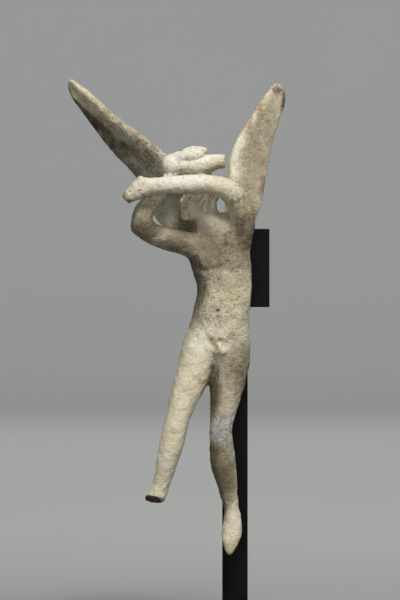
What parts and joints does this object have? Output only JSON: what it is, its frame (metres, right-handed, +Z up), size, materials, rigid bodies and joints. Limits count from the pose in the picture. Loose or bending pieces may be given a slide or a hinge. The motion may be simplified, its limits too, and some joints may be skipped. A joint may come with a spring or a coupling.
{
  "type": "figurine",
  "caption": "Fired clay figurine of a flying winged youth with arms folded over the head, on a black bar stand with a back plate and a flat foot.",
  "frame": {"origin": "middle of the underside of the stand's foot, on the table", "axes": "+Z up, -Y towards the viewer, who sees the figure's front, +X towards the figure's own left"},
  "size_m": [0.1436, 0.08, 0.3107],
  "materials": {
    "clay": "matt white slip, worn and stained, over orange-brown clay",
    "stand_paint": "satin black paint on steel"
  },
  "bodies": {
    "root": {"figurine": "clay", "stand_plate": "stand_paint", "stand_bar": "stand_paint", "stand_foot": "stand_paint"}
  },
  "joints": []
}
